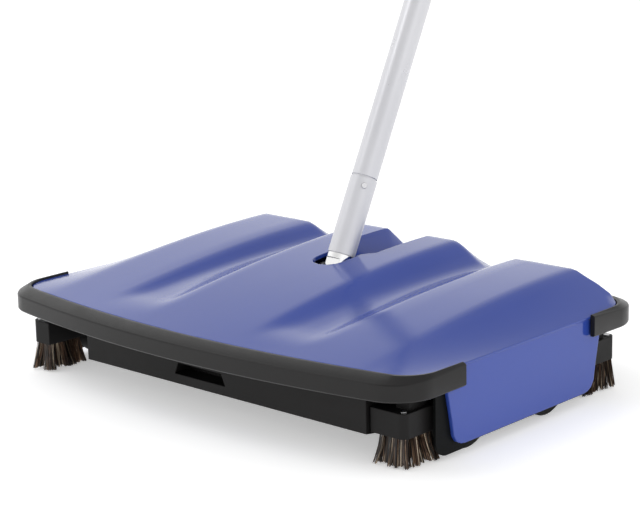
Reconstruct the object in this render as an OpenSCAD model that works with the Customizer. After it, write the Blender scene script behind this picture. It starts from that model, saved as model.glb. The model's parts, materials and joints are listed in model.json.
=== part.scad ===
// Manual carpet sweeper: friction driven brush rotor, two drop-open dust pans,
// four corner brushes and a leaning tubular handle.
// X runs across the body, the front faces -Y, +Z is up and z = 0 is the floor.

/* [Body] */
// overall width over the bumper legs
body_w = 315; // [300:1:330]
// overall depth over the bumpers
body_d = 242; // [236:1:248]
// how far the front edge bows out at the middle
bow = 17.3; // [12:0.1:20]
// outer corner radius of the bumper
bumper_r = 24.5; // [22:0.5:28]
// height of the bumper's lower edge
bumper_z0 = 39.8; // [39:0.1:42]
// height of the bumper's outer ridge
ridge_z = 49.3; // [48:0.1:50]
// height of the cover rim, where it meets the bumper
rim_z = 52; // [51:0.1:53]
// wall of the moulded cover
wall = 2.2; // [1.6:0.1:2.6]
// height of the two middle humps above the rim
mid_rise = 21; // [19:0.5:23]
// height of the two outer humps above the rim
side_rise = 16.5; // [15:0.5:18]
// drop of the valleys between the humps at the rear
valley_drop = 10.8; // [6:0.2:11]
// lower edge of the side skirts
skirt_z = 7.2; // [6:0.1:9]

/* [Handle] */
// lean of the handle from upright, as it stands
lean = 27; // [20:1:30]
// length from the pivot to the top of the grip
handle_len = 1058; // [900:1:1100]
// outside diameter of the tubes, five eighths of an inch
tube_d = 15.88; // [15:0.01:16]
// wall of the tubes
tube_wall = 0.8; // [0.7:0.1:1]
// diameter of the hanging hole in the grip
hang_d = 9; // [7:0.5:10]

/* [Rolling gear] */
// outside radius of the tyres
wheel_r = 20; // [19:0.1:20]
// wheel centres in front of and behind the middle of the body
wheel_y = [-42, 28];
// radius of the rotor's bristle tips
brush_r = 26; // [25:0.1:26]
// height of the rotor's axis
rotor_z = 26.5; // [26.5:0.1:27]
// gap between drum and tyre
drum_gap = 0.3; // [0.25:0.05:0.4]

/* [Pans and corner brushes] */
// outer face of both pans, from the middle of the body
pan_y = 96; // [94:0.5:97]
// lower edge of the pans' outer wall
pan_z0 = 16.3; // [15:0.1:18]
// sheet of the pans
pan_t = 1.6; // [1.2:0.1:2]
// width of the finger pocket
pocket_w = 40; // [30:1:50]

/* [Hidden] */
$fn = 64;
hw = body_w / 2;
hd = body_d / 2;
gap = 0.3;
// cover outline
cov_hw = hw - 3.1;
cov_hd = hd - 11;
cov_r = 20;
crest_y = 85;
crease_z = rim_z - 1;
// slot and channel for the handle
slot_hw = 10.5;
slot_y0 = 2.8;
slot_y1 = 50;
chan_z = 52.4;
chan_top_hw = 16.5;
// handle
pivot_y = 17.8;
pivot_z = 60;
pivot_r = 3;
tube_r = tube_d / 2;
tube_ri = tube_r - tube_wall;
socket_w0 = 11.5;
socket_w1 = 59;
joint_1 = 375;
joint_2 = 690;
grip_w0 = handle_len - 128;
spigot = 32;
// case
plate_t = 1.6;
inner_x = 127.4;
outer_x = 149.7;
deck_z = 44;
arch_r = 28.5;
flange_y = 86.5;
rotor_y = (wheel_y[0] + wheel_y[1]) / 2;
axle_span = (wheel_y[1] - wheel_y[0]) / 2;
drum_r = sqrt(axle_span^2 + (rotor_z - wheel_r)^2) - wheel_r - drum_gap;
shaft_r = 3;
axle_r = 3;
running = 0.05;
wheel_x0 = 135;
wheel_x1 = 147;
hub_r = 14.5;
// corner brushes
hold_x = 146.6;
hold_y = 94;
hold_z0 = 17.5;
hold_z1 = 31;
hold_t = 15;
hold_front = 23;
hold_side = 27;
// pans
pan_x = 122.5;
notch_x = 94;
notch_y = 64;
pan_top = 39.2;
hinge_r = 2.5;
hinge_y = [-46, 32];
hinge_z = 16;
hinge_back = 9.6;

// ---- outlines -------------------------------------------------------------

// y of the bowed front edge of an outline with half depth h, before its corners
function bow_y(h, x) = -h + bow * (x / hw)^2;
// angle at which the corner arc of radius r takes over from the bow
function take_over(cx, r) = atan(2 * bow / hw^2 * (cx + 0.19 * r));
// front end of an outline with half width w, half depth h and corner radius r
function end_y(w, h, r, x) =
    let (cx = w - r, a = take_over(cx, r), xt = cx + r * sin(a),
         cy = bow_y(h, xt) + r * cos(a))
    x <= xt ? bow_y(h, x) : cy - sqrt(max(0, r^2 - (x - cx)^2));
// the same outline as a path from the left leg round the front to the right leg
function half_path(w, h, r, leg, n) =
    let (cx = w - r, a = take_over(cx, r), xt = cx + r * sin(a),
         cy = bow_y(h, xt) + r * cos(a))
    concat([for (i = [0 : n]) let (x = xt * i / n) [x, bow_y(h, x)]],
           [for (i = [1 : 10]) let (q = a + (90 - a) * i / 10) [cx + r * sin(q), cy - r * cos(q)]],
           [[w, leg]]);
function mirror_x(p) = [for (i = [len(p) - 1 : -1 : 1]) [-p[i][0], p[i][1]]];

// eases a rising straight line into a level one; b is the half width of the blend
function ramp(s, b) = s < 1 - b ? s : s > 1 + b ? 1 : 1 - (1 + b - s)^2 / (4 * b);
function smooth(s) = let (c = min(1, max(0, s))) c * c * (3 - 2 * c);

// closed mesh of a grid of outer points g and inner points h, with cells left open
// where skip(i, j) is true; the rims are closed by strips
module shell(g, h, nu, nv, open_i0, open_i1, open_j0, open_j1) {
    n = nu * nv;
    k = function (i, j) i * nv + j;
    hole = function (i, j)
        i < 0 || j < 0 || i >= nu - 1 || j >= nv - 1
        || (i >= open_i0 && i < open_i1 && j >= open_j0 && j < open_j1);
    polyhedron(
        points = concat([for (r = g) for (p = r) p], [for (r = h) for (p = r) p]),
        faces = [for (i = [0 : nu - 2]) for (j = [0 : nv - 2]) if (!hole(i, j)) each [
            [k(i, j), k(i, j + 1), k(i + 1, j + 1)], [k(i, j), k(i + 1, j + 1), k(i + 1, j)],
            [n + k(i, j), n + k(i + 1, j + 1), n + k(i, j + 1)],
            [n + k(i, j), n + k(i + 1, j), n + k(i + 1, j + 1)],
            if (hole(i - 1, j)) each [[k(i, j), n + k(i, j), k(i, j + 1)],
                                      [n + k(i, j), n + k(i, j + 1), k(i, j + 1)]],
            if (hole(i + 1, j)) each [[k(i + 1, j), k(i + 1, j + 1), n + k(i + 1, j)],
                                      [n + k(i + 1, j), k(i + 1, j + 1), n + k(i + 1, j + 1)]],
            if (hole(i, j - 1)) each [[k(i, j), k(i + 1, j), n + k(i, j)],
                                      [n + k(i, j), k(i + 1, j), n + k(i + 1, j)]],
            if (hole(i, j + 1)) each [[k(i, j + 1), n + k(i, j + 1), k(i + 1, j + 1)],
                                      [n + k(i, j + 1), n + k(i + 1, j + 1), k(i + 1, j + 1)]]
        ]],
        convexity = 8);
}

// ---- cover ----------------------------------------------------------------

// where the humps are highest, for an outline that ends at ye
function crest(ye) = min(crest_y, ye - 9);
// height of the cover's top over the point x, y
function cover_z(x, y) =
    let (a = abs(x),
         ye = -end_y(cov_hw, cov_hd, cov_r, a),
         t = min(1, max(0, (y + ye) / (crest(ye) + ye))),
         rise = mid_rise + (side_rise - mid_rise) * smooth((a - 34) / 48),
         dip = min(smooth((a - 35) / (14 + 12 * t)), smooth((80 + 5 * t - a) / (12 + 13 * t))),
         deep = 0.16 * smooth((t - 0.06) / 0.16) + 0.84 * max(0, t - 0.12) / 0.88,
         hump = rise * sin(90 * t) - valley_drop * dip * deep,
         edge = ramp(max(0, cov_hw - a) / 31.5, 0.1),
         tail = ramp(max(0, ye - y) / (ye - crest(ye)), 0.06),
         base = rim_z - smooth((a - 120) / 34),
         z = base + hump * min(edge, tail),
         ch = min(1, max(0, (y - 32) / 14)) * (1 - min(1, max(0, (a - slot_hw) / 6))))
    z - max(0, z - chan_z) * ch;

// columns across the top, and rows along it as fractions of the outline's depth
cols = [0, 5.5, 9, slot_hw, 12.5, chan_top_hw, 24, 32, 35.5, 38, 40.5, 43.5, 48, 54, 60, 66, 71,
    75, 79, 83, 94, 112, 118, 121.5, 125, 130, 137, 145, 150.5, 153.4, cov_hw];
rows = [-1, -0.97, -0.92, -0.87, -0.82, -0.77, -0.72, -0.66, -0.6, -0.53, -0.45, -0.36, -0.27,
    -0.18, -0.09, -0.01, 0.06, 0.121, 0.18, 0.24, 0.29, 0.33, 0.37, 0.41, 0.4545, 0.5, 0.56,
    0.62, 0.68, 0.73, 0.76, 0.775, 0.79, 0.81, 0.86, 0.91, 0.96, 1];
hole_j0 = 17;
hole_j1 = 24;
crest_j = 31;
nc = len(cols);
xs = concat([for (i = [nc - 1 : -1 : 1]) -cols[i]], cols);
// skirt: heights, half lengths and how far each is set in from the top's edge
skirt = [[49.9, 74.2, 0], [49.5, 74, 0.9], [44, 70.2, 0.9], [38, 67.6, 0.9], [22, 64.2, 0.9],
    [13, 62.6, 0.9], [9.4, 60.2, 0.9], [skirt_z + 0.6, 57, 0.9], [skirt_z, 53.5, 0.9]];

// row j at distance x from the middle: the slot's front end is round
function row_y(a, j) =
    let (ye = -end_y(cov_hw, cov_hd, cov_r, a),
         y = rows[j] * ye,
         y1 = rows[hole_j1] * ye,
         c = crest(ye))
    j > crest_j ? c + (ye - c) * (rows[j] - rows[crest_j]) / (1 - rows[crest_j])
    : j > hole_j1 ? y1 + (c - y1) * (rows[j] - rows[hole_j1]) / (rows[crest_j] - rows[hole_j1])
    : a > slot_hw + 0.01 ? y
    : let (y0 = slot_y0 + slot_hw - sqrt(max(0, slot_hw^2 - a^2)))
      j >= hole_j0 ? y0 + (slot_y1 - y0) * (j - hole_j0) / (hole_j1 - hole_j0)
    : -ye + (y + ye) * (y0 + ye) / (rows[hole_j0] * ye + ye);

module cover() color([0.2, 0.25, 0.58]) {
    top = [for (x = xs) [for (j = [0 : len(rows) - 1])
        let (y = row_y(abs(x), j)) [x, y, cover_z(x, y)]]];
    under = [for (x = xs) [for (j = [0 : len(rows) - 1])
        let (y = row_y(abs(x), j),
             xi = x * (cov_hw - wall) / cov_hw,
             s = abs(x) > slot_hw + 0.01 ? (cov_hd - wall) / cov_hd : 1)
        [xi, abs(rows[j]) == 1 ? y * s : y, cover_z(x, y) - wall]]];
    side = function (sx, inset) [for (k = skirt) [for (v = rows)
        [sx * (cov_hw - inset - k[2]), v * k[1], k[0]]]];
    flip = function (m) [for (i = [len(m) - 1 : -1 : 0]) m[i]];
    g = concat(flip(side(-1, 0)), top, side(1, 0));
    h = concat(flip(side(-1, wall)), under, side(1, wall));
    ns = len(skirt);
    mid = ns + nc - 1;
    shell(g, h, len(g), len(rows), mid - 3, mid + 3, hole_j0, hole_j1);
    // bosses that take the four cover screws
    for (x = [-110, 110], y = [-74, 74])
        translate([x, y, deck_z + plate_t])
            difference() {
                cylinder(r = 4, h = cover_z(x, y) - 1.2 - deck_z - plate_t);
                translate([0, 0, -1])
                    cylinder(r = 1.6, h = 8);
            }
}

// ---- bumpers --------------------------------------------------------------

// one U-shaped bumper round the front end; it hugs the cover's rim
module bumper() {
    leg = -57.3;
    po = half_path(hw, hd, bumper_r, leg, 20);
    pi = half_path(cov_hw + 0.2, cov_hd + 0.2, cov_r, leg, 20);
    outer = concat(mirror_x(po), po);
    inner = concat(mirror_x(pi), pi);
    n = len(outer);
    ring = function (i)
        let (o = outer[i], q = inner[i], w = norm(o - q),
             f = min(1, max(0, (w - 3.1) / 7)), u = (q - o) / w,
             at = function (d, z) [o[0] + u[0] * d, o[1] + u[1] * d, z],
             zr = 51.6 + (ridge_z - 51.6) * f)
        [at(0.7, bumper_z0), at(0, bumper_z0 + 0.8), at(0, zr - 0.6), at(0.5, zr + 0.1),
         at(0.75 * w, rim_z + 0.35), at(w - 0.3, rim_z + 0.3), at(w, rim_z - 0.1),
         at(w, bumper_z0)];
    m = 8;
    pts = [for (i = [0 : n - 1]) each ring(i)];
    polyhedron(
        points = pts,
        faces = concat(
            [for (i = [0 : n - 2]) for (j = [0 : m - 1]) let (b = (j + 1) % m) each [
                [i * m + j, i * m + b, (i + 1) * m + j],
                [i * m + b, (i + 1) * m + b, (i + 1) * m + j]]],
            [[for (j = [m - 1 : -1 : 0]) j], [for (j = [0 : m - 1]) (n - 1) * m + j]]),
        convexity = 6);
}
module front_bumper() color([0.2, 0.19, 0.19]) bumper();
module rear_bumper() color([0.2, 0.19, 0.19]) rotate([0, 0, 180]) bumper();

// ---- case -----------------------------------------------------------------

// draws a YZ outline as a sheet from x0 to x1
module along_x(x0, x1)
    translate([x0, 0, 0])
        rotate([90, 0, 90])
            linear_extrude(height = x1 - x0)
                children();

module deck() color([0.16, 0.16, 0.17]) {
    difference() {
        union() {
            along_x(-inner_x - plate_t, inner_x + plate_t)
                difference() {
                    union() {
                        translate([-92, deck_z])
                            square([184, plate_t]);
                        translate([rotor_y, rotor_z])
                            circle(r = arch_r + 1.2);
                    }
                    translate([rotor_y, rotor_z])
                        circle(r = arch_r);
                    translate([-100, -10])
                        square([200, 10 + deck_z]);
                }
            for (s = [-1, 1])
                translate([s > 0 ? inner_x + plate_t : -outer_x, -flange_y, deck_z])
                    cube([outer_x - inner_x - plate_t, 2 * flange_y, plate_t]);
        }
        for (x = [-110, 110], y = [-74, 74])
            translate([x, y, deck_z - 1])
                cylinder(r = 1.8, h = plate_t + 2);
        for (x = [-5, 5])
            translate([x, 33, deck_z - 1])
                cylinder(r = 2, h = plate_t + 2);
    }
}

// side plate outline with the holes of the rolling gear and the pans
module inner_outline() difference() {
    polygon([[-66, deck_z], [-66, 16], [-60, 8], [-20, 8], [-14, 12], [0, 12], [6, 8], [60, 8],
             [66, 16], [66, deck_z]]);
    translate([rotor_y, rotor_z])
        circle(r = 8);
    for (y = wheel_y)
        translate([y, wheel_r])
            circle(r = axle_r);
    for (y = hinge_y)
        translate([y, hinge_z])
            circle(r = hinge_r + running);
}
module left_inner_plate() color([0.6, 0.6, 0.62])
    along_x(-inner_x - plate_t, -inner_x) inner_outline();
module right_inner_plate() color([0.6, 0.6, 0.62])
    along_x(inner_x, inner_x + plate_t) inner_outline();

module outer_outline() difference() {
    union() {
        polygon([[-75, deck_z + plate_t], [-75, 12], [-66, 3.3], [-52, 3.3], [-46, 5.8],
                 [40, 5.8], [58, 5.8], [66, 12], [66, deck_z + plate_t]]);
        translate([-66, 12.3])
            circle(r = 9);
    }
    translate([rotor_y, rotor_z])
        circle(r = 5.5);
    for (y = wheel_y)
        translate([y, wheel_r])
            circle(r = axle_r);
}
module left_outer_plate() color([0.07, 0.07, 0.07])
    along_x(-outer_x - plate_t, -outer_x) outer_outline();
module right_outer_plate() color([0.07, 0.07, 0.07])
    along_x(outer_x, outer_x + plate_t) outer_outline();

// ---- corner brushes -------------------------------------------------------

// plan of a holder at the front right corner; front is the width of its front face
module holder_plan(front, inset) {
    r = 4 - inset;
    difference() {
        union() {
            translate([hold_x - hold_t + inset, -hold_y + inset])
                square([hold_t - 2 * inset, hold_side - 2 * inset]);
            translate([hold_x - front + inset, -hold_y + inset])
                square([front - 2 * inset, hold_t - 2 * inset]);
        }
        translate([hold_x - inset - r, -hold_y + inset + r])
            difference() {
                translate([0, -r - 1])
                    square(r + 1);
                circle(r = r);
            }
    }
}
module holder(front) difference() {
    union() {
        translate([0, 0, hold_z0])
            linear_extrude(height = hold_z1 - hold_z0)
                holder_plan(front, 0);
        translate([hold_x - 12, -flange_y, hold_z1 - 1])
            cube([9, 14, deck_z - hold_z1 + 1]);
    }
    translate([hold_x - 3.6, -hold_y + 3.6, hold_z0 - 1])
        cylinder(r = 1.5, h = 30);
}
module bristles(front)
    linear_extrude(height = hold_z0)
        holder_plan(front, 1.2);

module front_right_brush_holder() color([0.14, 0.14, 0.14]) holder(hold_front);
module front_left_brush_holder() color([0.14, 0.14, 0.14]) mirror([1, 0, 0]) holder(hold_t);
module rear_left_brush_holder() color([0.14, 0.14, 0.14]) rotate([0, 0, 180]) holder(hold_front);
module rear_right_brush_holder() color([0.14, 0.14, 0.14]) mirror([0, 1, 0]) holder(hold_t);
module front_right_bristles() color([0.25, 0.16, 0.1]) bristles(hold_front);
module front_left_bristles() color([0.25, 0.16, 0.1]) mirror([1, 0, 0]) bristles(hold_t);
module rear_left_bristles() color([0.25, 0.16, 0.1]) rotate([0, 0, 180]) bristles(hold_front);
module rear_right_bristles() color([0.25, 0.16, 0.1]) mirror([0, 1, 0]) bristles(hold_t);

module brush_rivets() color([0.8, 0.8, 0.8])
    for (x = [-1, 1], y = [-1, 1])
        translate([x * (hold_x - 3.6), y * (hold_y - 3.6), 0]) {
            translate([0, 0, hold_z0 + 0.5])
                cylinder(r = 1.45, h = hold_z1 - hold_z0 - 0.5);
            translate([0, 0, hold_z1])
                cylinder(r = 1.7, h = 0.5);
        }

// ---- screws and handle bracket --------------------------------------------

module cover_screws() color([0.7, 0.7, 0.7])
    for (x = [-110, 110], y = [-74, 74])
        translate([x, y, 0]) {
            translate([0, 0, deck_z - 1.4])
                cylinder(r = 3.2, h = 1.4);
            translate([0, 0, deck_z])
                cylinder(r = 1.55, h = 7);
        }

ear_x = 8.3;
ear_t = 2;
module handle_bracket() color([0.7, 0.7, 0.7]) {
    difference() {
        translate([-ear_x - ear_t, 18, deck_z + plate_t])
            cube([2 * (ear_x + ear_t), 22, 2]);
        for (x = [-5, 5])
            translate([x, 33, deck_z])
                cylinder(r = 2, h = 6);
    }
    for (x = [-ear_x - ear_t, ear_x])
        along_x(x, x + ear_t)
            difference() {
                union() {
                    polygon([[18, deck_z + plate_t], [40, deck_z + plate_t], [40, 48],
                             [pivot_y + 5.4, pivot_z - 1], [pivot_y - 5.4, pivot_z - 1]]);
                    translate([pivot_y, pivot_z])
                        circle(r = 5.5);
                }
                translate([pivot_y, pivot_z])
                    circle(r = pivot_r);
            }
}
module bracket_rivets() color([0.75, 0.75, 0.75])
    for (x = [-5, 5])
        translate([x, 33, 0]) {
            translate([0, 0, deck_z - 1])
                cylinder(r = 3.2, h = 1);
            translate([0, 0, deck_z])
                cylinder(r = 1.95, h = plate_t + 2);
            translate([0, 0, deck_z + plate_t + 2])
                cylinder(r = 3.2, h = 1.2);
        }
module pivot_pin() color([0.75, 0.75, 0.75])
    translate([0, pivot_y, pivot_z])
        rotate([0, 90, 0]) {
            translate([0, 0, -ear_x - ear_t])
                cylinder(r = pivot_r, h = 2 * (ear_x + ear_t));
            for (z = [-ear_x - ear_t - 1.4, ear_x + ear_t])
                translate([0, 0, z])
                    cylinder(r = 4.4, h = 1.4);
        }

// ---- rotor ----------------------------------------------------------------

module on_rotor_axis(x0)
    translate([x0, rotor_y, rotor_z])
        rotate([0, 90, 0])
            children();
module rotor_shaft() color([0.75, 0.75, 0.77])
    on_rotor_axis(-outer_x - 1.2)
        cylinder(r = shaft_r, h = 2 * outer_x + 2.4);
module rotor_core() color([0.1, 0.1, 0.1])
    on_rotor_axis(-121)
        difference() {
            cylinder(r = 11, h = 242);
            translate([0, 0, -1])
                cylinder(r = shaft_r, h = 244);
        }
module rotor_bristles() color([0.2, 0.2, 0.22])
    on_rotor_axis(-120)
        difference() {
            cylinder(r = brush_r, h = 240);
            translate([0, 0, -1])
                cylinder(r = 11, h = 242);
        }
module drum(x0) color([0.12, 0.12, 0.12])
    on_rotor_axis(x0)
        difference() {
            cylinder(r = drum_r, h = 14);
            translate([0, 0, -1])
                cylinder(r = shaft_r, h = 16);
        }
module left_drum() drum(-148);
module right_drum() drum(134);
module rotor_bushes() color([0.85, 0.83, 0.76])
    for (x = [-outer_x - plate_t, outer_x])
        on_rotor_axis(x)
            difference() {
                cylinder(r = 5.5, h = plate_t);
                translate([0, 0, -1])
                    cylinder(r = shaft_r + running, h = plate_t + 2);
            }

// ---- wheels ---------------------------------------------------------------

module wheel_axles() color([0.75, 0.75, 0.77])
    for (y = wheel_y, x = [-outer_x - plate_t, inner_x])
        translate([x, y, wheel_r])
            rotate([0, 90, 0])
                cylinder(r = axle_r, h = outer_x + plate_t - inner_x);
module wheel(side, y) color([0.12, 0.12, 0.13])
    translate([side > 0 ? wheel_x0 : -wheel_x1, y, wheel_r])
        rotate([0, 90, 0])
            rotate_extrude()
                polygon([[axle_r + running, -1.5], [6, -1.5], [6, 2.5], [11, 2.5], [11, 0],
                         [hub_r, 0], [hub_r, 12], [11, 12], [11, 9.5], [6, 9.5], [6, 13.5],
                         [axle_r + running, 13.5]]);
module tyre(side, y) color([0.05, 0.05, 0.05])
    translate([side > 0 ? wheel_x0 : -wheel_x1, y, wheel_r])
        rotate([0, 90, 0])
            rotate_extrude()
                polygon([[hub_r, 0], [wheel_r - 1, 0], [wheel_r, 1], [wheel_r, 11],
                         [wheel_r - 1, 12], [hub_r, 12]]);
module front_left_wheel() wheel(-1, wheel_y[0]);
module front_right_wheel() wheel(1, wheel_y[0]);
module rear_left_wheel() wheel(-1, wheel_y[1]);
module rear_right_wheel() wheel(1, wheel_y[1]);
module front_left_tyre() tyre(-1, wheel_y[0]);
module front_right_tyre() tyre(1, wheel_y[0]);
module rear_left_tyre() tyre(-1, wheel_y[1]);
module rear_right_tyre() tyre(1, wheel_y[1]);

// ---- dust pans ------------------------------------------------------------

// A pan is drawn as the front one. lip is where its inner lip ends, towards the rotor.
// Its floor falls from the outer wall to the bend, then turns up into the lip.
function floor_z(y, lip) =
    let (bend = lip - 11) y < bend ? pan_z0 + (9 - pan_z0) * (y + pan_y) / (bend + pan_y) : 9;
// outline of the sheet from y0 to the lip, with a wall up to the given height at y0
module pan_sheet(y0, lip, top) {
    bend = lip - 11;
    f = floor_z(y0, lip);
    polygon([[y0, top], [y0, f], [bend, 9], [lip, 15], [lip, 18], [bend, 9 + pan_t],
             [y0 + pan_t, f + pan_t], [y0 + pan_t, top]]);
}
// outline of an end wall from y0 to y1
module pan_end(y0, y1, lip) {
    bend = lip - 11;
    f = floor_z(y0, lip);
    difference() {
        if (y1 > bend)
            polygon([[y0, pan_top], [y0, f], [bend, 9], [lip, 15], [lip, 18], [lip - 6, 24],
                     [bend - 8, pan_top - 5], [max(y0 + pan_t, bend - 20), pan_top]]);
        else
            polygon([[y0, pan_top], [y0, f], [y1, floor_z(y1, lip)], [y1, pan_top]]);
        translate([lip - hinge_back, hinge_z])
            circle(r = hinge_r);
    }
}
module pan(lip) {
    difference() {
        union() {
            along_x(-notch_x, pan_x) pan_sheet(-pan_y, lip, pan_top);
            along_x(-pan_x, -notch_x) pan_sheet(-notch_y, lip, pan_top);
            along_x(pan_x - pan_t, pan_x) pan_end(-pan_y, lip, lip);
            along_x(-pan_x, -pan_x + pan_t) pan_end(-notch_y, lip, lip);
            along_x(-notch_x, -notch_x + pan_t) pan_end(-pan_y, -notch_y + pan_t, lip);
            // finger pocket behind the outer wall
            translate([-pocket_w / 2 - pan_t, -pan_y, 20.4])
                cube([pocket_w + 2 * pan_t, 13, 9.8]);
        }
        translate([0, -pan_y + 13 - pan_t, 0])
            rotate([90, 0, 0])
                linear_extrude(height = 13)
                    polygon([[-pocket_w / 2, 21.8], [pocket_w / 2, 21.8],
                             [pocket_w / 2 - 3, 28.6], [3 - pocket_w / 2, 28.6]]);
    }
}
module front_pan() color([0.12, 0.12, 0.12]) pan(hinge_y[0] + hinge_back);
module rear_pan() color([0.12, 0.12, 0.12]) rotate([0, 0, 180]) pan(-hinge_y[1] + hinge_back);
module pan_pins(y) color([0.75, 0.75, 0.77])
    for (x = [-inner_x - plate_t, pan_x - pan_t])
        translate([x, y, hinge_z])
            rotate([0, 90, 0])
                cylinder(r = hinge_r, h = inner_x + plate_t - pan_x + pan_t);
module front_pan_pins() pan_pins(hinge_y[0]);
module rear_pan_pins() pan_pins(hinge_y[1]);

// ---- handle ---------------------------------------------------------------

module on_handle(w)
    translate([0, pivot_y, pivot_z])
        rotate([-lean, 0, 0])
            translate([0, 0, w])
                children();
module handle_yoke() color([0.85, 0.85, 0.87])
    on_handle(0)
        difference() {
            union() {
                translate([0, 0, 8])
                    cylinder(r = tube_r - 0.1, h = socket_w0 - 8);
                translate([0, 0, socket_w0 - 1])
                    cylinder(r = tube_ri, h = 30);
                intersection() {
                    translate([0, 0, -6])
                        cylinder(r = tube_r - 0.1, h = 15);
                    union() {
                        translate([-10, -6, 0])
                            cube([20, 12, 9]);
                        rotate([0, 90, 0])
                            translate([0, 0, -10])
                                cylinder(r = 6, h = 20);
                    }
                }
            }
            rotate([0, 90, 0])
                translate([0, 0, -10])
                    cylinder(r = pivot_r + running, h = 20);
        }
// a tube from a to b; its lower end is drawn in to fit inside the tube below
module tube(a, b, spig, button = true) {
    difference() {
        union() {
            on_handle(a)
                cylinder(r = tube_r, h = b - a);
            on_handle(a - spig)
                cylinder(r = tube_ri, h = spig + 1);
        }
        on_handle(a - spig - 1)
            cylinder(r = tube_ri - tube_wall, h = spig + 5);
        on_handle(a + 3)
            cylinder(r = tube_ri, h = b - a);
        // hole for the snap button of the tube above
        if (button)
            on_handle(b - 12)
                rotate([90, 0, 0])
                    cylinder(r = 2.6, h = 12);
    }
}
rivet_turn = 50;
seam = 1.2;
module handle_socket() color([0.8, 0.8, 0.83])
    difference() {
        on_handle(socket_w0)
            cylinder(r = tube_r + 0.3, h = socket_w1 - socket_w0);
        on_handle(socket_w0 - 1)
            cylinder(r = tube_ri, h = socket_w1 - socket_w0 + 2);
        on_handle(socket_w1 - 5)
            rotate([90, 0, rivet_turn])
                cylinder(r = 1.8, h = 12);
    }
module lower_tube() color([0.82, 0.82, 0.85])
    difference() {
        tube(socket_w1 + seam, joint_1, 14 + seam);
        on_handle(socket_w1 - 5)
            rotate([90, 0, rivet_turn])
                cylinder(r = 1.8, h = 12);
    }
module middle_tube() color([0.82, 0.82, 0.85])
    difference() {
        tube(joint_1, joint_2, spigot);
        on_handle(joint_1 - 12)
            rotate([90, 0, 0])
                cylinder(r = 2.6, h = 12);
    }
module upper_tube() color([0.82, 0.82, 0.85])
    difference() {
        tube(joint_2, handle_len - 30, spigot, false);
        on_handle(joint_2 - 12)
            rotate([90, 0, 0])
                cylinder(r = 2.6, h = 12);
    }
// a rivet at the socket and a snap button at each joint, on the front of the tubes
module snap_buttons() color([0.8, 0.8, 0.8]) {
    on_handle(socket_w1 - 5)
        rotate([90, 0, rivet_turn])
            translate([0, 0, 5])
                cylinder(r = 1.75, h = 4);
    for (w = [joint_1 - 12, joint_2 - 12])
        on_handle(w)
            rotate([90, 0, 0])
                translate([0, 0, 5])
                    cylinder(r = 2.5, h = 4.4);
}
module hand_grip() color([0.08, 0.08, 0.08])
    difference() {
        union() {
            on_handle(grip_w0)
                rotate_extrude()
                    polygon([[tube_r, 0], [10.6, 0], [11.8, 1.5], [11.8, 5], [10.8, 8],
                             for (i = [0 : 7]) each [[10.8, 12 + i * 9], [12.1, 13 + i * 9],
                                                     [12.1, 17 + i * 9], [10.8, 18 + i * 9]],
                             [10.8, 90], [12.4, 98], [11.5, 104], [8, 108], [0, 108],
                             [0, 98.1], [tube_r, 98.1]]);
            on_handle(0)
                difference() {
                    translate([-5, 0, 0])
                        rotate([90, 0, 90])
                            linear_extrude(height = 10)
                                union() {
                                    translate([-9, handle_len - 24])
                                        square([18, 15]);
                                    translate([0, handle_len - 9])
                                        circle(r = 9);
                                }
                    translate([0, 0, handle_len - 9])
                        rotate([0, 90, 0])
                            translate([0, 0, -10])
                                cylinder(d = hang_d, h = 20);
                }
        }
    }

cover();
front_bumper();
rear_bumper();
deck();
left_inner_plate();
right_inner_plate();
left_outer_plate();
right_outer_plate();
front_left_brush_holder();
front_right_brush_holder();
rear_left_brush_holder();
rear_right_brush_holder();
front_left_bristles();
front_right_bristles();
rear_left_bristles();
rear_right_bristles();
brush_rivets();
cover_screws();
handle_bracket();
bracket_rivets();
pivot_pin();
rotor_shaft();
rotor_core();
rotor_bristles();
left_drum();
right_drum();
rotor_bushes();
wheel_axles();
front_left_wheel();
front_right_wheel();
rear_left_wheel();
rear_right_wheel();
front_left_tyre();
front_right_tyre();
rear_left_tyre();
rear_right_tyre();
front_pan();
rear_pan();
front_pan_pins();
rear_pan_pins();
handle_yoke();
handle_socket();
lower_tube();
middle_tube();
upper_tube();
snap_buttons();
hand_grip();
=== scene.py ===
"""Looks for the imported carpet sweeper: materials on its CAD pieces, hair for its brushes,
a pale floor, soft studio light and the camera. Metres, in the CAD's own frame."""

import json
import math
import random

import bmesh
import bpy
from mathutils import Matrix, Vector


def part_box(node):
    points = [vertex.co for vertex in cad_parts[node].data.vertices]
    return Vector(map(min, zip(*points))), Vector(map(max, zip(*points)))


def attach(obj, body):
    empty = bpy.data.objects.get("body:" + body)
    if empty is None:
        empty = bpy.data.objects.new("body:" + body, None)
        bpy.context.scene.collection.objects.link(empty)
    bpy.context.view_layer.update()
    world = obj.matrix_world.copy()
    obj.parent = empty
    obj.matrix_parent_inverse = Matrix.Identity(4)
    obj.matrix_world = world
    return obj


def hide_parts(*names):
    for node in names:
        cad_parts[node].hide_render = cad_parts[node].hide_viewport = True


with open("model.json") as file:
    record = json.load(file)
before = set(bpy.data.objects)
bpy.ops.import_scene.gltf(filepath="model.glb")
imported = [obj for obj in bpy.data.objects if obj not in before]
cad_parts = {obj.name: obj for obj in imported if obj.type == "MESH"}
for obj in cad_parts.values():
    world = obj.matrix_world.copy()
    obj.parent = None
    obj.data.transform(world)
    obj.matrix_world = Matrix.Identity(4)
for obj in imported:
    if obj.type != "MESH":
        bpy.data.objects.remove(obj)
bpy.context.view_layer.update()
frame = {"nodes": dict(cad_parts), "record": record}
nodes = frame["nodes"]
MM = 0.001


# ---- materials --------------------------------------------------------------


def new_material(name):
    """A new Principled material, as (material, node tree, shader)."""
    mat = bpy.data.materials.new(name)
    mat.use_nodes = True
    tree = mat.node_tree
    shader = tree.nodes["Principled BSDF"]
    return mat, tree, shader


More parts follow.
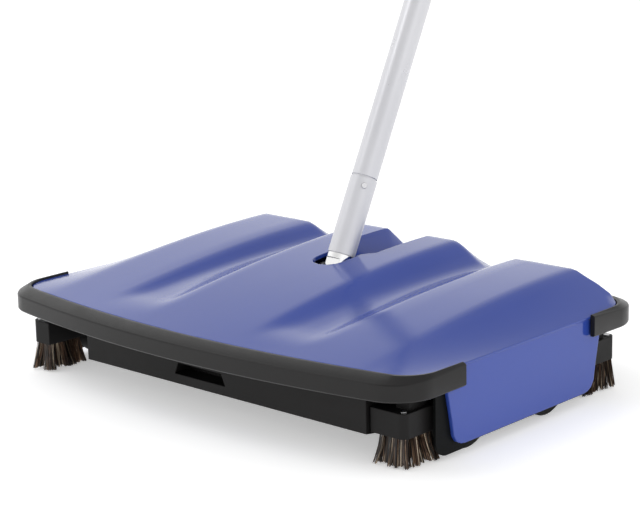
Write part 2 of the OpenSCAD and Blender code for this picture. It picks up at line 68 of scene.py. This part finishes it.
def noise(tree, scale, detail=3.0, rough=0.55, stretch=None):
    """Noise on object coordinates; stretch scales the axes."""
    coord = tree.nodes.new("ShaderNodeTexCoord")
    tex = tree.nodes.new("ShaderNodeTexNoise")
    tex.inputs["Scale"].default_value = scale
    tex.inputs["Detail"].default_value = detail
    tex.inputs["Roughness"].default_value = rough
    source = coord.outputs["Object"]
    if stretch:
        mapping = tree.nodes.new("ShaderNodeMapping")
        mapping.inputs["Scale"].default_value = stretch
        tree.links.new(source, mapping.inputs["Vector"])
        source = mapping.outputs["Vector"]
    tree.links.new(source, tex.inputs["Vector"])
    return tex.outputs["Fac"]


def spread(tree, value, low, high, lo_in=0.3, hi_in=0.7):
    """Maps a noise value from lo_in..hi_in to low..high."""
    node = tree.nodes.new("ShaderNodeMapRange")
    node.inputs["From Min"].default_value = lo_in
    node.inputs["From Max"].default_value = hi_in
    node.inputs["To Min"].default_value = low
    node.inputs["To Max"].default_value = high
    tree.links.new(value, node.inputs["Value"])
    return node.outputs["Result"]


def mix_colour(tree, factor, a, b):
    """Colour a where factor is 0 and b where it is 1."""
    node = tree.nodes.new("ShaderNodeMix")
    node.data_type = "RGBA"
    node.inputs["A"].default_value = (*a, 1)
    node.inputs["B"].default_value = (*b, 1)
    tree.links.new(factor, node.inputs["Factor"])
    return node.outputs["Result"]


def bump(tree, height, depth, edge=0.0):
    """A bump of that depth in metres, on edges that shade as if rounded by the radius edge."""
    node = tree.nodes.new("ShaderNodeBump")
    node.inputs["Strength"].default_value = 1.0
    node.inputs["Distance"].default_value = depth
    tree.links.new(height, node.inputs["Height"])
    if edge:
        rounding = tree.nodes.new("ShaderNodeBevel")
        rounding.samples = 6
        rounding.inputs["Radius"].default_value = edge
        tree.links.new(rounding.outputs["Normal"], node.inputs["Normal"])
    return node.outputs["Normal"]


def surface(name, dark, light, rough, grain, depth, edge=0.0, metallic=0.0, **inputs):
    """A material whose colour runs between dark and light over broad marks and whose roughness
    runs between the two values of rough over smaller ones. It has a fine grain of that scale
    and depth, and edges that catch the light as if rounded by the radius edge."""
    mat, tree, shader = new_material(name)
    broad = noise(tree, 9.0, 4.0)
    fine = noise(tree, grain, 4.0, 0.6)
    colour = mix_colour(tree, spread(tree, broad, 0.0, 1.0), dark, light)
    tree.links.new(colour, shader.inputs["Base Color"])
    wear = noise(tree, 55.0, 6.0, 0.65)
    tree.links.new(spread(tree, wear, rough[0], rough[1]), shader.inputs["Roughness"])
    tree.links.new(bump(tree, fine, depth, edge), shader.inputs["Normal"])
    shader.inputs["Metallic"].default_value = metallic
    for socket, value in inputs.items():
        shader.inputs[socket.replace("_", " ")].default_value = value
    return mat


BLUE = surface("blue_plastic", (0.024, 0.057, 0.315), (0.030, 0.065, 0.34), (0.1, 0.16),
               2600.0, 0.000012, 0.0010)
BUMPER = surface("bumper_rubber", (0.008, 0.0077, 0.0077), (0.012, 0.0113, 0.0113),
                 (0.28, 0.4), 2200.0, 0.00005, 0.0003, Specular_IOR_Level=0.25)
BLACK_STEEL = surface("black_steel", (0.002, 0.0025, 0.0025), (0.004, 0.0045, 0.0045),
                      (0.32, 0.5), 900.0, 0.00003, 0.0004, Specular_IOR_Level=0.06)
ZINC = surface("zinc_steel", (0.48, 0.48, 0.49), (0.6, 0.6, 0.6), (0.3, 0.48),
               700.0, 0.00002, 0.0003, metallic=1.0)
BLACK_PLASTIC = surface("black_plastic", (0.007, 0.0066, 0.0066), (0.011, 0.0104, 0.0104),
                        (0.38, 0.52), 1800.0, 0.00004, 0.0008, Specular_IOR_Level=0.14)
WHEEL = surface("wheel_plastic", (0.012, 0.012, 0.013), (0.018, 0.018, 0.019), (0.4, 0.55),
                1500.0, 0.00004, 0.0005)
TYRE = surface("tyre_rubber", (0.005, 0.005, 0.005), (0.009, 0.009, 0.009), (0.62, 0.8),
               1200.0, 0.00008, 0.0006, Specular_IOR_Level=0.2)
NYLON = surface("nylon", (0.62, 0.59, 0.5), (0.7, 0.67, 0.58), (0.4, 0.5),
                900.0, 0.00002, 0.0003)
BRIGHT = surface("bright_steel", (0.56, 0.56, 0.58), (0.68, 0.68, 0.69), (0.2, 0.34),
                 800.0, 0.00002, 0.0003, metallic=1.0)
CHROME = surface("chrome", (0.78, 0.78, 0.78), (0.84, 0.84, 0.84), (0.05, 0.12),
                 500.0, 0.00001, 0.0006, metallic=1.0)
PAINT = surface("grey_paint", (0.62, 0.62, 0.645), (0.67, 0.67, 0.69), (0.26, 0.36),
                1500.0, 0.00002, 0.0004, metallic=0.5)
GRIP = surface("grip_rubber", (0.016, 0.016, 0.016), (0.024, 0.024, 0.024), (0.6, 0.75),
               1300.0, 0.00006, 0.0006)


def hair_material(name, stops, rough):
    """Hair whose strands each take one of the stops' colours, in the shares between the stops'
    places, with paler and darker streaks along them."""
    mat, tree, shader = new_material(name)
    info = tree.nodes.new("ShaderNodeNewGeometry")
    ramp = tree.nodes.new("ShaderNodeValToRGB")
    ramp.color_ramp.interpolation = "CONSTANT"
    while len(ramp.color_ramp.elements) < len(stops):
        ramp.color_ramp.elements.new(0.5)
    for element, (place, colour) in zip(ramp.color_ramp.elements, stops):
        element.position = place
        element.color = (*colour, 1)
    tree.links.new(info.outputs["Random Per Island"], ramp.inputs["Fac"])
    streak = noise(tree, 210.0, 2.0, 0.5, (1.0, 1.0, 0.12))
    shade = tree.nodes.new("ShaderNodeMix")
    shade.data_type = "RGBA"
    shade.blend_type = "MULTIPLY"
    shade.inputs["Factor"].default_value = 1.0
    tree.links.new(ramp.outputs["Color"], shade.inputs["A"])
    grey = mix_colour(tree, spread(tree, streak, 0.0, 1.0, 0.4, 0.58), (0.2, 0.19, 0.18),
                      (1.0, 1.0, 1.0))
    tree.links.new(grey, shade.inputs["B"])
    tree.links.new(shade.outputs["Result"], shader.inputs["Base Color"])
    tree.links.new(spread(tree, streak, *rough), shader.inputs["Roughness"])
    return mat


HORSEHAIR = hair_material("horsehair", [
    (0.0, (0.012, 0.008, 0.007)), (0.3, (0.05, 0.027, 0.017)), (0.52, (0.11, 0.06, 0.036)),
    (0.74, (0.3, 0.19, 0.12)), (0.87, (0.68, 0.56, 0.42))], (0.3, 0.5))
ROTOR_HAIR = hair_material("rotor_fibre", [
    (0.0, (0.012, 0.012, 0.013)), (0.5, (0.022, 0.022, 0.024)), (0.85, (0.05, 0.05, 0.055))],
    (0.35, 0.5))

BY_SLOT = {"blue_plastic": BLUE, "bumper_rubber": BUMPER, "black_steel": BLACK_STEEL,
           "zinc_steel": ZINC, "black_plastic": BLACK_PLASTIC, "wheel_plastic": WHEEL,
           "tyre_rubber": TYRE, "nylon": NYLON, "bright_steel": BRIGHT, "chrome": CHROME,
           "grey_paint": PAINT, "grip_rubber": GRIP, "horsehair": HORSEHAIR,
           "rotor_fibre": ROTOR_HAIR}
for part in frame["record"]["subparts"]:
    mesh = nodes[part["node"]].data
    mesh.materials.clear()
    mesh.materials.append(BY_SLOT[part["material_slot"]])


# ---- smooth shading of the moulded pieces -----------------------------------


def smooth_by_angle(degrees):
    """A geometry group that shades faces smooth across edges flatter than that."""
    group = bpy.data.node_groups.new("smooth_by_angle", "GeometryNodeTree")
    group.interface.new_socket("Geometry", in_out="INPUT", socket_type="NodeSocketGeometry")
    group.interface.new_socket("Geometry", in_out="OUTPUT", socket_type="NodeSocketGeometry")
    add, link = group.nodes.new, group.links.new
    start, end = add("NodeGroupInput"), add("NodeGroupOutput")
    angle, flat = add("GeometryNodeInputMeshEdgeAngle"), add("FunctionNodeCompare")
    flat.operation = "LESS_THAN"
    flat.inputs["B"].default_value = math.radians(degrees)
    link(angle.outputs["Unsigned Angle"], flat.inputs["A"])
    edges, faces = add("GeometryNodeSetShadeSmooth"), add("GeometryNodeSetShadeSmooth")
    edges.domain, faces.domain = "EDGE", "FACE"
    link(start.outputs[0], edges.inputs["Geometry"])
    link(flat.outputs["Result"], edges.inputs["Shade Smooth"])
    link(edges.outputs["Geometry"], faces.inputs["Geometry"])
    link(faces.outputs["Geometry"], end.inputs[0])
    return group


def shade_smooth(name, group):
    """Merges a faceted CAD node's split corners for shading only, with modifiers."""
    obj = nodes[name]
    bpy.context.view_layer.objects.active = obj
    if obj.data.has_custom_normals:
        bpy.ops.mesh.customdata_custom_splitnormals_clear()
    weld = obj.modifiers.new("weld", "WELD")
    weld.merge_threshold = 2e-5
    obj.modifiers.new("smooth", "NODES").node_group = group


shade_smooth("cover", smooth_by_angle(38))
crisp = smooth_by_angle(24)
for name in ("front_bumper", "rear_bumper"):
    shade_smooth(name, crisp)


# ---- hair -------------------------------------------------------------------


def add_strand(bm, root, tip, bend, radius):
    """A three-sided tapering hair from root to tip, bowed by the vector bend."""
    along = (tip - root).normalized()
    side = along.orthogonal().normalized()
    other = along.cross(side)
    rings = []
    for t, thick in ((0.0, 1.0), (0.5, 0.95), (1.0, 0.75)):
        centre = root.lerp(tip, t) + bend * (4 * t * (1 - t))
        rings.append([bm.verts.new(centre + (side * math.cos(a) + other * math.sin(a))
                                   * radius * thick)
                      for a in (0.0, math.radians(120), math.radians(240))])
    for low, high in zip(rings, rings[1:]):
        for k in range(3):
            bm.faces.new((low[k], low[(k + 1) % 3], high[(k + 1) % 3], high[k]))
    bm.faces.new(rings[-1])
    bm.faces.new(rings[0][::-1])


def finish_hair(bm, name, slot, body, node):
    """Makes the strands one object that rides on the body and is shown instead of the node."""
    mesh = bpy.data.meshes.new(name)
    bm.to_mesh(mesh)
    bm.free()
    obj = bpy.data.objects.new(name, mesh)
    bpy.context.scene.collection.objects.link(obj)
    mesh.materials.append(BY_SLOT[slot])
    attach(obj, body)
    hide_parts(node)


# corner tufts: clumps in each, hairs in a clump, their roots' spread, the legs' thickness in
# plan, how far a clump keeps off the edge, how far the tips lean out, and the hair's thickness
CLUMPS = 62
IN_CLUMP = 20
CLUMP_R = 1.7 * MM
LEG = 12.6 * MM
CLUMP_INSET = 1.2 * MM
SPLAY = 0.21
MAX_AWAY = 9 * MM
HAIR_R = (0.17 * MM, 0.3 * MM)


def corner_hair(node, seed):
    """The tuft of one corner brush, in the plan of its CAD solid."""
    rng = random.Random(seed)
    low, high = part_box(node)
    sx = 1 if high.x + low.x > 0 else -1
    sy = 1 if high.y + low.y > 0 else -1
    outer = Vector((high.x if sx > 0 else low.x, high.y if sy > 0 else low.y, 0))
    width, depth = high.x - low.x, high.y - low.y
    top = high.z
    middle = Vector((outer.x - sx * LEG / 2, outer.y - sy * LEG / 2, 0))
    bm = bmesh.new()
    clumps = 0
    while clumps < CLUMPS:
        u = rng.uniform(CLUMP_INSET, width - CLUMP_INSET)
        v = rng.uniform(CLUMP_INSET, depth - CLUMP_INSET)
        if u > LEG - MM and v > LEG - MM:
            continue
        clumps += 1
        centre = Vector((outer.x - sx * u, outer.y - sy * v, top + 1.5 * MM))
        away = centre - middle
        away = Vector((max(-MAX_AWAY, min(MAX_AWAY, away.x)),
                       max(-MAX_AWAY, min(MAX_AWAY, away.y)), 0))
        lean = away * (SPLAY / (8 * MM)) * top * rng.uniform(0.6, 1.3)
        lean += Vector((rng.gauss(0, 0.7 * MM), rng.gauss(0, 0.7 * MM), 0))
        reach = abs(rng.gauss(0, 0.45 * MM))
        for _ in range(IN_CLUMP):
            turn, off = rng.uniform(0, 2 * math.pi), math.sqrt(rng.random()) * CLUMP_R
            spot = Vector((math.cos(turn) * off, math.sin(turn) * off, 0))
            root = centre + spot
            tip = centre + lean + spot * rng.uniform(0.45, 1.05)
            tip.z = reach + abs(rng.gauss(0, 0.4 * MM)) + 0.35 * MM
            bow = Vector((rng.gauss(0, 0.3 * MM), rng.gauss(0, 0.3 * MM), 0)) - lean * 0.12
            add_strand(bm, root, tip, bow, rng.uniform(*HAIR_R))
    finish_hair(bm, node.replace("bristles", "tuft"), "horsehair", "sweeper_body", node)


for index, corner in enumerate(("front_left", "front_right", "rear_left", "rear_right")):
    corner_hair(corner + "_bristles", 11 + index)


def rotor_hair(node, seed):
    """Bristles in helical rows of small tufts round the rotor's core, with twist turns from
    end to end."""
    rng = random.Random(seed)
    low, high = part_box(node)
    axis = Vector((0, (low.y + high.y) / 2, (low.z + high.z) / 2))
    reach = (high.z - low.z) / 2 - 0.4 * MM
    core, end_gap, hair_r = 10.6 * MM, 2 * MM, 0.19 * MM
    rows, tufts, hairs, twist = 6, 78, 9, 1.25
    span = high.x - low.x - 2 * end_gap
    bm = bmesh.new()
    for row in range(rows):
        for tuft in range(tufts):
            t = tuft / (tufts - 1)
            x = low.x + end_gap + span * t
            centre = 2 * math.pi * row / rows + twist * 2 * math.pi * t
            for _ in range(hairs):
                turn = centre + rng.gauss(0, 0.03)
                fan = rng.gauss(0, 0.055)
                root = axis + Vector((x + rng.gauss(0, 0.5 * MM), core * math.cos(turn),
                                      core * math.sin(turn)))
                tip_r = reach * rng.uniform(0.965, 1.0)
                tip = axis + Vector((max(low.x, min(high.x, x + rng.gauss(0, 1.1 * MM))),
                                     tip_r * math.cos(turn + fan), tip_r * math.sin(turn + fan)))
                add_strand(bm, root, tip, Vector((0, 0, 0)), hair_r)
    finish_hair(bm, "rotor_hair", "rotor_fibre", "rotor", node)


rotor_hair("rotor_bristles", 5)


# ---- floor, light and camera ------------------------------------------------


def area_light(name, place, target, size, power):
    """A white rectangular light of that size and power at place, facing target."""
    data = bpy.data.lights.new(name, "AREA")
    data.shape = "RECTANGLE"
    data.size, data.size_y = size
    data.energy = power
    obj = bpy.data.objects.new(name, data)
    bpy.context.scene.collection.objects.link(obj)
    obj.location = place
    obj.rotation_mode = "QUATERNION"
    obj.rotation_quaternion = (Vector(target) - Vector(place)).to_track_quat("-Z", "Y")


# white ground, with a little light of its own so that it stays as pale as the walls
HALF_FLOOR = 12.0
floor_mesh = bpy.data.meshes.new("floor")
floor_mesh.from_pydata(
    [(-HALF_FLOOR, -HALF_FLOOR, 0), (HALF_FLOOR, -HALF_FLOOR, 0),
     (HALF_FLOOR, HALF_FLOOR, 0), (-HALF_FLOOR, HALF_FLOOR, 0)], [], [(0, 1, 2, 3)])
floor = bpy.data.objects.new("floor", floor_mesh)
bpy.context.scene.collection.objects.link(floor)
floor_mesh.materials.append(surface("floor_paper", (0.9, 0.9, 0.9), (0.92, 0.92, 0.92),
                                    (0.75, 0.85), 300.0, 0.00001,
                                    Emission_Color=(1, 1, 1, 1), Emission_Strength=0.4))

# white studio walls, brighter near the floor than overhead
WALLS, OVERHEAD = 1.2, 0.6
world = bpy.data.worlds.new("studio")
bpy.context.scene.world = world
world.use_nodes = True
sky = world.node_tree
background = sky.nodes["Background"]
background.inputs["Color"].default_value = (1, 1, 1, 1)
axes = sky.nodes.new("ShaderNodeSeparateXYZ")
sky.links.new(sky.nodes.new("ShaderNodeTexCoord").outputs["Generated"], axes.inputs["Vector"])
sky.links.new(spread(sky, axes.outputs["Z"], WALLS, OVERHEAD, 0.4, 0.68),
              background.inputs["Strength"])
bpy.context.scene.view_settings.view_transform = "Standard"

area_light("key", (-0.9, -0.7, 1.7), (0, 0, 0), (1.2, 1.2), 8.0)
area_light("fill", (1.6, -0.2, 1.1), (0, 0, 0.03), (1.0, 1.0), 0.7)

# about 1.15 m off, 43 degrees round to the right of the front and 14 degrees up; the picture
# is rolled by 1 degree, so its own right and up are written out as directions
camera = bpy.data.cameras.new("camera")
camera_object = bpy.data.objects.new("camera", camera)
bpy.context.scene.collection.objects.link(camera_object)
camera.sensor_fit = "HORIZONTAL"
camera.sensor_width = 36.0
camera.lens = 109.53
right = Vector((0.73801, 0.67446, -0.02111))
up = Vector((-0.14351, 0.18745, 0.97173))
back = right.cross(up)
turn = Matrix((right, up, back)).transposed().to_4x4()
camera_object.matrix_world = Matrix.Translation((0.75148, -0.80935, 0.34258)) @ turn
camera.clip_start = 0.05
camera.clip_end = 60.0
bpy.context.scene.camera = camera_object
